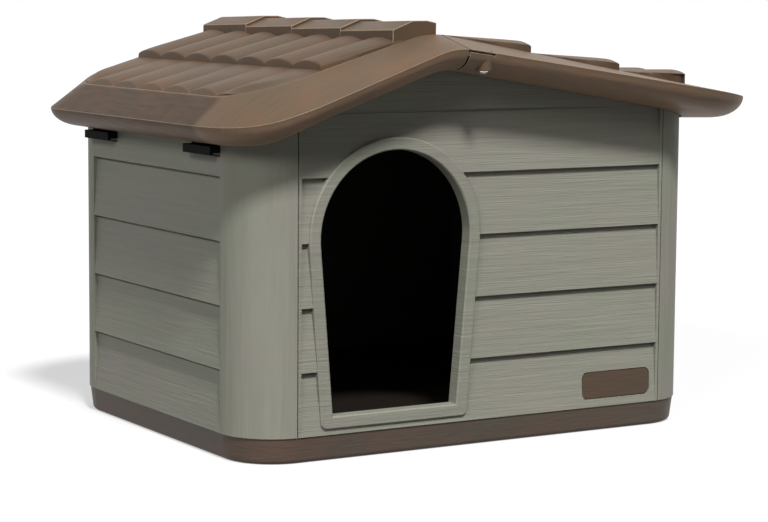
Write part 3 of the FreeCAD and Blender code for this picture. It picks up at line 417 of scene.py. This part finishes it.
SEAM, HALF_SEAM_GAP = -0.053, 0.0011
SLOT_LEFT, SLOT_RIGHT = -0.0515, -0.024
SLOT_TOP, SLOT_FOOT, SLOT_FRONT = 0.0009, 0.0034, 0.2435     # drops below the rim, and y
TONGUE_FROM, TONGUE_TO = 0.199, 0.2435                       # y
TONGUE_LENGTH, TONGUE_THICK, TONGUE_X, TONGUE_DROP = 0.042, 0.0032, -0.038, 0.0043
FLANGE_SIZE, FLANGE_DROP = (0.014, 0.398, 0.0014), 0.004
SCREW_X, SCREW_Y = -0.0305, 0.2325
BOSS_FOOT, BOSS_TOP, BOSS_RADII = 0.3622, 0.3805, (0.0076, 0.0084)
BOSS_STRETCH = (0.9, 1.35, 1)

# Tiles: how many rolls, their height, and how the rows swell, lean and fade from end to end
ROLLS, ROLL_RISE, NOSE, TILE_FOOT = 7, 0.0062, 0.0030, 0.003
ROW_STEPS, ROLL_STEPS = 18, 14
ROLL_FULLNESS, ROW_FALL, NOSE_FADE, LEAN_FADE = 0.75, 1.4, 8, 12
EAVE_LEAN, STEP_LEAN, SIDE_LEAN = 0.9, 0.35, 0.7
TILE_LIFT, EAVE_SINK, EAVE_REACH = 0.0002, 0.001, 0.012
VERGE_GAP, VERGE_FADE, CORNER_TURN = 0.0006, 0.014, 30

CAP_LEFT, CAP_RIGHT, CAP_TOP, CAP_FALL = -0.1056, -0.058, 0.4083, 0.0028
CAP_FOOT_LEFT, CAP_FOOT_RIGHT = 0.366, 0.372
CAP_END, CAP_COUNT, CAP_LAP = 0.1947, 4, 0.0004

CATCH_X, CATCH_Y, CATCH_THICK = 0.229, 0.112, 0.004
CATCH_LEVELS = {-1: 0.2895, 1: 0.305}     # the latches' heights on the left and the right
CATCH_COLUMNS = (-0.036, -0.029, 0.029, 0.036)


def slope_height(x, ridge_z, left, left_z, right, right_z):
    """Height of a roof line at x: two slopes that meet in a rounded crest."""
    rise_left = (ridge_z - left_z) / (RIDGE - left)
    rise_right = (ridge_z - right_z) / (right - RIDGE)
    if abs(x - RIDGE) < CREST:
        step = (x - RIDGE + CREST) / (2 * CREST)
        low_left, low_right = ridge_z - rise_left * CREST, ridge_z - rise_right * CREST
        return (1 - step) ** 2 * low_left + 2 * step * (1 - step) * ridge_z + step ** 2 * low_right
    return ridge_z - (rise_left * (RIDGE - x) if x < RIDGE else rise_right * (x - RIDGE))


def rim_height(x):
    start = RIM["left"]
    if x < start + 2 * LEVEL_RUN:
        rise = (RIM_RIDGE - RIM_LEFT) / (RIDGE - start - LEVEL_RUN)
        return RIM_LEFT + rise / (4 * LEVEL_RUN) * max(x - start, 0) ** 2
    return slope_height(x, RIM_RIDGE, start + LEVEL_RUN, RIM_LEFT, RIM["right"], RIM_RIGHT)


def deck_height(x):
    return slope_height(x, DECK_RIDGE, FIELD["left"], DECK_LEFT, FIELD["right"], DECK_RIGHT)


def skirt_drop(x):
    """Depth of the curled skirt: a little shallower at the left eave."""
    share = min(max((x - RIM["left"]) / (RIDGE - RIM["left"]), 0.0), 1.0)
    return SKIRT_LEFT + SKIRT_GROWTH * share


def shrink(plan, inset):
    return {"left": plan["left"] + inset, "right": plan["right"] - inset,
            "half": plan["half"] - inset,
            "rounds": tuple(round_size - inset for round_size in plan["rounds"])}


def along(value, marks, targets):
    """Value carried from one row of marks to another, evenly between them."""
    for low, high, new_low, new_high in zip(marks, marks[1:], targets, targets[1:]):
        if value <= high:
            return new_low + (value - low) * (new_high - new_low) / (high - low)
    return targets[-1]


def core_marks(plan):
    return (plan["left"] + plan["rounds"][0], RIDGE - CREST, RIDGE + CREST,
            plan["right"] - plan["rounds"][1])


def to_plan(place, old, new):
    """Point of one rounded outline moved to the same place on another."""
    side = 1 if place.x > RIDGE else 0
    old_round, new_round = old["rounds"][side], new["rounds"][side]
    marks, targets = core_marks(old), core_marks(new)
    core = Vector((min(max(place.x, marks[0]), marks[3]),
                   min(max(place.y, old_round - old["half"]), old["half"] - old_round)))
    lean = (Vector((place.x, place.y)) - core) / old_round
    y = core.y * (new["half"] - new_round) / (old["half"] - old_round)
    return Vector((along(core.x, marks, targets), y)) + lean * new_round


def new_piece(name, shape, material, body, smooth_angle=35, highlight_material=None):
    """Mesh object from a finished bmesh, outward, smooth between its sharp edges."""
    bmesh.ops.remove_doubles(shape, verts=shape.verts, dist=1e-6)
    bmesh.ops.recalc_face_normals(shape, faces=shape.faces)
    mesh = bpy.data.meshes.new(name)
    for face in shape.faces:
        face.smooth = True
    shape.to_mesh(mesh)
    shape.free()
    mesh.set_sharp_from_angle(angle=math.radians(smooth_angle))
    piece = bpy.data.objects.new(name, mesh)
    bpy.context.collection.objects.link(piece)
    mesh.materials.append(material)
    if highlight_material:
        mesh.materials.append(highlight_material)
    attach(piece, body)
    return piece


def soften(piece, width, segments=2, angle=40):
    """Small rounds on a moulding's sharp edges."""
    bevel = piece.modifiers.new("rounds", "BEVEL")
    bevel.width = width
    bevel.segments = segments
    bevel.limit_method = "ANGLE"
    bevel.angle_limit = math.radians(angle)
    bevel.use_clamp_overlap = True
    # The rounds take the last material; where that is the paler edge material, they carry a
    # painted highlight.
    bevel.material = len(piece.data.materials) - 1


def thicken(piece, depth):
    skin = piece.modifiers.new("skin", "SOLIDIFY")
    skin.thickness = depth
    skin.offset = -1


def cut_upright(shape, x, keep=0):
    """Cut at x. With keep, the part on that side stays and the other goes."""
    bmesh.ops.bisect_plane(
        shape, geom=list(shape.verts) + list(shape.edges) + list(shape.faces), dist=1e-7,
        plane_co=(x, 0, 0), plane_no=(1, 0, 0), clear_outer=keep < 0, clear_inner=keep > 0,
    )


def rounded_plan(plan, segments):
    """Flat face with the plan's rounded outline."""
    shape = bmesh.new()
    bmesh.ops.create_grid(shape, x_segments=1, y_segments=1, size=1)
    middle, reach = (plan["left"] + plan["right"]) / 2, (plan["right"] - plan["left"]) / 2
    bmesh.ops.scale(shape, verts=shape.verts, vec=(reach, plan["half"], 1))
    bmesh.ops.translate(shape, verts=shape.verts, vec=(middle, 0, 0))
    bmesh.ops.bevel(shape, geom=list(shape.verts), affect="VERTICES", offset=plan["rounds"][0],
                    offset_type="OFFSET", segments=segments, profile=0.5, material=-1)
    return shape


def roof_skin_surface():
    """Deck, flanks, rim, curled skirt and soffit as one open surface."""
    shape = rounded_plan(RIM, CORNER_STEPS)
    for part in range(CREST_STEPS + 1):
        cut_upright(shape, RIDGE - CREST + part * 2 * CREST / CREST_STEPS)
    for x in SLOPE_CUTS:
        cut_upright(shape, x)
    start = {vert: vert.co.copy() for vert in shape.verts}
    edges = [edge for edge in shape.edges if edge.is_boundary]
    for vert in shape.verts:
        spot = to_plan(start[vert], RIM, FIELD)
        vert.co = (spot.x, spot.y, deck_height(spot.x))
    steps = []
    for turn in map(math.radians, CURL_TURNS):
        steps.append((shrink(RIM, CURL_DEPTH * (1 - math.cos(turn))), math.sin(turn)))
    steps.append((MOUTH, 1))
    for plan, share in steps:
        new = bmesh.ops.extrude_edge_only(shape, edges=edges)["geom"]
        edges = [item for item in new if isinstance(item, bmesh.types.BMEdge)]
        fresh = {item for item in new if isinstance(item, bmesh.types.BMVert)}
        for vert in fresh:
            before = next(edge.other_vert(vert) for edge in vert.link_edges
                          if edge.other_vert(vert) not in fresh)
            place = start[before]
            start[vert] = place
            spot = to_plan(place, RIM, plan)
            vert.co = (spot.x, spot.y, rim_height(place.x) - share * skirt_drop(place.x))
    return shape


def open_tongue_slot(shape):
    """Narrow slot below the rim of the right half, where the left half's tongue shows."""
    gone = []
    for face in shape.faces:
        middle = face.calc_center_median()
        drop = rim_height(middle.x) - middle.z
        if (abs(middle.y) > SLOT_FRONT and SEAM < middle.x < SLOT_RIGHT
                and SLOT_TOP < drop < SLOT_FOOT):
            gone.append(face)
    bmesh.ops.delete(shape, geom=gone, context="FACES")


def roof_half(side, material, highlight_material):
    """Thin shell of the left (-1) or right (1) half, its rounded edges painted paler: a painted
    highlight.
    """
    shape = roof_skin_surface()
    for x in (SLOT_LEFT, SLOT_RIGHT):
        cut_upright(shape, x)
    cut_upright(shape, SEAM + side * HALF_SEAM_GAP, side)
    if side > 0:
        open_tongue_slot(shape)
    name = "roof_shell_right" if side > 0 else "roof_shell_left"
    half = new_piece(name, shape, material, "roof", 30, highlight_material)
    thicken(half, SKIN)
    soften(half, 0.0009, 2, 16)
    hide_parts("roof_right" if side > 0 else "roof_left")


def on_field(x, y):
    """Point kept within the field, and how far its tile still rises there: 0 at the verges."""
    side = 1 if x > RIDGE else 0
    inset = FIELD["rounds"][side]
    radius = inset - VERGE_GAP
    core = Vector((min(max(x, FIELD["left"] + inset), FIELD["right"] - inset),
                   min(max(y, inset - FIELD["half"]), FIELD["half"] - inset)))
    reach = Vector((x, y)) - core
    swell = 1.0
    if abs(reach.y) > 1e-6:
        spot = core + reach * min(1.0, radius / reach.length)
        turn = math.degrees(math.atan2(abs(reach.y), abs(reach.x)))
        room = min(max((radius - min(reach.length, radius)) / VERGE_FADE, 0.0), 1.0)
        swell = max(1 - turn / CORNER_TURN, room * room * (3 - 2 * room), 0.0)
        return spot.x, spot.y, swell
    return core.x + reach.x, y, swell


def row_of_tiles(low, high, lip=0.0, keep=0.0, lift=0.0, square=0.0):
    """One row of half-round tiles from its scalloped lower end up to the row above.

    lip is the step at the lower end, lift the height at the upper end, keep the share of each
    roll that is left there, and square is 1 where the row ends in upright sides at the verges.
    """
    shape = bmesh.new()
    bmesh.ops.create_grid(shape, x_segments=ROW_STEPS, y_segments=ROLLS * ROLL_STEPS, size=0.5)
    side = 1 if high > low else -1
    lean = STEP_LEAN if lip else EAVE_LEAN
    rim = [edge for edge in shape.edges if edge.is_boundary]
    for vert in shape.verts:
        run, turn = (vert.co.x + 0.5) ** ROW_FALL, (vert.co.y + 0.5) * ROLLS
        fade = 1 - run
        bend = math.sin(math.pi * (turn - math.floor(min(turn, ROLLS - 1e-9))))
        arch = bend ** ROLL_FULLNESS
        x = low + (high - low) * run - side * NOSE * (arch - 0.5) * fade ** NOSE_FADE
        x, wide, swell = on_field(x, vert.co.y * 2 * FIELD["half"])
        rise = lip * fade + lift * run + ROLL_RISE * arch * (keep + (1 - keep) * fade)
        rise *= max(swell, square)
        pull = 1 - SIDE_LEAN * square * rise / FIELD["half"] * (abs(vert.co.y) > 0.499)
        vert.co = (x + side * rise * lean * fade ** LEAN_FADE, wide * pull,
                   deck_height(x) + rise + TILE_LIFT)
    walls = bmesh.ops.extrude_edge_only(shape, edges=rim)["geom"]
    for item in walls:
        if isinstance(item, bmesh.types.BMVert):
            rise = item.co.z - deck_height(item.co.x)
            if not lip and side * (item.co.x - low) < EAVE_REACH:
                item.co.x -= side * (rise * EAVE_LEAN + 0.0004)
                item.co.z = deck_height(item.co.x) - EAVE_SINK
            else:
                item.co.z = deck_height(item.co.x) - TILE_FOOT
    noses = [edge for edge in rim if edge.is_valid and all(
        vert.co.z > deck_height(vert.co.x) + 0.0012 for vert in edge.verts)]
    bmesh.ops.bevel(shape, geom=noses, affect="EDGES", offset=0.0016, offset_type="OFFSET",
                    segments=3, profile=0.5, material=-1, clamp_overlap=True)
    return shape


def join_shapes(shapes):
    """Several bmeshes in one, as they leave the same mould."""
    whole = bmesh.new()
    holder = bpy.data.meshes.new("holder")
    for shape in shapes:
        shape.to_mesh(holder)
        shape.free()
        whole.from_mesh(holder)
    bpy.data.meshes.remove(holder)
    return whole


def tile_rows(side, material):
    """Two rows on the left half, three on the right half."""
    if side < 0:
        rows = [row_of_tiles(-0.264, -0.180, keep=0.1),
                row_of_tiles(-0.1848, -0.096, lip=0.0036, keep=0.7, lift=0.002, square=1.0)]
    else:
        rows = [row_of_tiles(0.054, SEAM + 0.0006, lip=0.0055, square=1.0),
                row_of_tiles(0.160, 0.052, lip=0.0055, square=1.0),
                row_of_tiles(0.2445, 0.158, lip=0.0085, square=1.0)]
    name = "tile_rows_right" if side > 0 else "tile_rows_left"
    piece = new_piece(name, join_shapes(rows), material, "roof", 40)
    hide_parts("roof_right" if side > 0 else "roof_left")


def ridge_cap(start, length):
    """Flat-topped cap over the ridge, a little higher at its front end."""
    shape = bmesh.new()
    profile = [(CAP_LEFT - 0.0005, CAP_FOOT_LEFT), (CAP_LEFT, CAP_TOP - 0.0083),
               (CAP_LEFT + 0.022, CAP_TOP), (CAP_RIGHT - 0.010, CAP_TOP),
               (CAP_RIGHT, CAP_TOP - 0.002), (CAP_RIGHT, CAP_FOOT_RIGHT)]
    corners = [shape.verts.new((x, start, z)) for x, z in profile]
    face = shape.faces.new(corners)
    new = bmesh.ops.extrude_face_region(shape, geom=[face])["geom"]
    far = [item for item in new if isinstance(item, bmesh.types.BMVert)]
    bmesh.ops.translate(shape, verts=far, vec=(0, length, -CAP_FALL))
    return shape


def ridge_caps(material, highlight_material):
    pitch = 2 * CAP_END / CAP_COUNT
    caps = join_shapes([ridge_cap(index * pitch - CAP_END, pitch + CAP_LAP)
                        for index in range(CAP_COUNT)])
    piece = new_piece("ridge_caps", caps, material, "roof", 32, highlight_material)
    soften(piece, 0.0007, 2, 20)
    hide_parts("roof_left")


def screw_bosses(material):
    """Round bosses of the right half that take the screws from below."""
    shapes = []
    middle = (BOSS_TOP + BOSS_FOOT) / 2
    for y in (-SCREW_Y, SCREW_Y):
        shape = bmesh.new()
        bmesh.ops.create_cone(shape, cap_ends=True, segments=40, radius1=BOSS_RADII[0],
                              radius2=BOSS_RADII[1], depth=BOSS_TOP - BOSS_FOOT)
        bmesh.ops.scale(shape, verts=shape.verts, vec=BOSS_STRETCH)
        bmesh.ops.translate(shape, verts=shape.verts, vec=(SCREW_X, y, middle))
        ring = [edge for edge in shape.edges if all(vert.co.z < middle for vert in edge.verts)]
        bmesh.ops.bevel(shape, geom=ring, affect="EDGES", offset=0.0012, offset_type="OFFSET",
                        segments=3, profile=0.5, material=-1)
        shapes.append(shape)
    piece = new_piece("screw_bosses", join_shapes(shapes), material, "roof", 40)
    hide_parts("roof_right")


def seam_tongues(material):
    """Flat tongues of the left half above the screws, and its flange under the long seam."""
    shape = bmesh.new()
    bmesh.ops.create_cube(shape, size=1)
    bmesh.ops.scale(shape, verts=shape.verts, vec=FLANGE_SIZE)
    bmesh.ops.translate(shape, verts=shape.verts, vec=(SEAM, 0, 0))
    for vert in shape.verts:
        vert.co.z += deck_height(vert.co.x) - FLANGE_DROP
    shapes = [shape]
    for end in (-1, 1):
        shape = bmesh.new()
        bmesh.ops.create_cube(shape, size=1)
        bmesh.ops.scale(shape, verts=shape.verts,
                        vec=(TONGUE_LENGTH, TONGUE_TO - TONGUE_FROM, TONGUE_THICK))
        y = end * (TONGUE_FROM + TONGUE_TO) / 2
        bmesh.ops.translate(shape, verts=shape.verts, vec=(TONGUE_X, y, 0))
        for vert in shape.verts:
            vert.co.z += rim_height(vert.co.x) - TONGUE_DROP
        bmesh.ops.bevel(shape, geom=list(shape.edges), affect="EDGES", offset=0.0005,
                        offset_type="OFFSET", segments=2, profile=0.5, material=-1)
        shapes.append(shape)
    piece = new_piece("seam_tongues", join_shapes(shapes), material, "roof", 40)
    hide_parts("roof_left")


def latch_catches(material):
    """Slotted plates that hang inside the side walls and take the latches' noses."""
    for side, level in CATCH_LEVELS.items():
        shapes = []
        x = side * CATCH_X
        rise = (level - 0.0135, level - 0.0066, level + 0.004, deck_height(x) - 0.0018)
        for end in (-1, 1):
            shape = bmesh.new()
            bmesh.ops.create_grid(shape, x_segments=3, y_segments=3, size=0.5)
            for vert in shape.verts:
                column, line = round((vert.co.x + 0.5) * 3), round((vert.co.y + 0.5) * 3)
                vert.co = (x - CATCH_THICK / 2, end * CATCH_Y + CATCH_COLUMNS[column],
                           rise[line])
            middle = Vector((x - CATCH_THICK / 2, end * CATCH_Y, level - 0.0013))
            slot = min(shape.faces, key=lambda face: (face.calc_center_median() - middle).length)
            bmesh.ops.delete(shape, geom=[slot], context="FACES")
            new = bmesh.ops.extrude_face_region(shape, geom=list(shape.faces))["geom"]
            far = [item for item in new if isinstance(item, bmesh.types.BMVert)]
            bmesh.ops.translate(shape, verts=far, vec=(CATCH_THICK, 0, 0))
            shapes.append(shape)
        name = "latch_catches_right" if side > 0 else "latch_catches_left"
        piece = new_piece(name, join_shapes(shapes), material, "roof", 30)
        soften(piece, 0.0005, 2)
        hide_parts("roof_right" if side > 0 else "roof_left")


place_camera()
light_world()
lay_floor()
for light_name, light in LIGHTS.items():
    add_sun(light_name, **light)

front_finish = wall_plastic("wall_front", False)
side_finish = wall_plastic("wall_side", True)
roof_finish = brown_plastic(
    "roof_brown", (lit(105, 82, 63), lit(99, 80, 63), lit(94, 80, 64)),
    down_slope=True, grained_shaded_eave=True)
# The tiles and ridge caps take a darker copy of the roof's brown: painted shade on their up-facing
# tops.
shaded_tile_finish = brown_plastic(
    "tile_brown_shaded", (lit(90, 69, 51), lit(85, 67, 51), lit(81, 67, 52)), down_slope=True)
# A paler copy of the roof's brown for the rounded edges: painted highlight.
edge_highlight_finish = brown_plastic(
    "roof_edge_highlight", (lit(142, 121, 101), lit(138, 121, 101), lit(134, 121, 102)), down_slope=True)
base_finish = brown_plastic(
    "base_brown", (lit(93, 76, 66), lit(87, 76, 67), lit(84, 77, 68)), paints_cabin_shade=True)
plate_finish = brown_plastic(
    "plate_brown", (lit(86, 69, 56), lit(82, 68, 56), lit(79, 69, 57)))
latch_finish = black_plastic()
screw_finish = bright_steel()
for half_side in (-1, 1):
    roof_half(half_side, roof_finish, edge_highlight_finish)
    tile_rows(half_side, shaded_tile_finish)
ridge_caps(shaded_tile_finish, edge_highlight_finish)
screw_bosses(roof_finish)
seam_tongues(roof_finish)
latch_catches(roof_finish)
nodes = frame["nodes"]
for node_name in ("front_wall", "rear_wall"):
    dress(nodes[node_name], front_finish)
for node_name in ("left_wall", "right_wall"):
    dress(nodes[node_name], side_finish)
for node_name in ("roof_left", "roof_right"):
    dress(nodes[node_name], roof_finish)
dress(nodes["base_tray"], base_finish)
dress(nodes["name_plate"], plate_finish)
for node_name in nodes:
    if node_name.startswith("latch"):
        dress(nodes[node_name], latch_finish)
    if node_name.startswith("ridge_screw"):
        dress(nodes[node_name], screw_finish)

bpy.context.scene.view_settings.view_transform = "Standard"
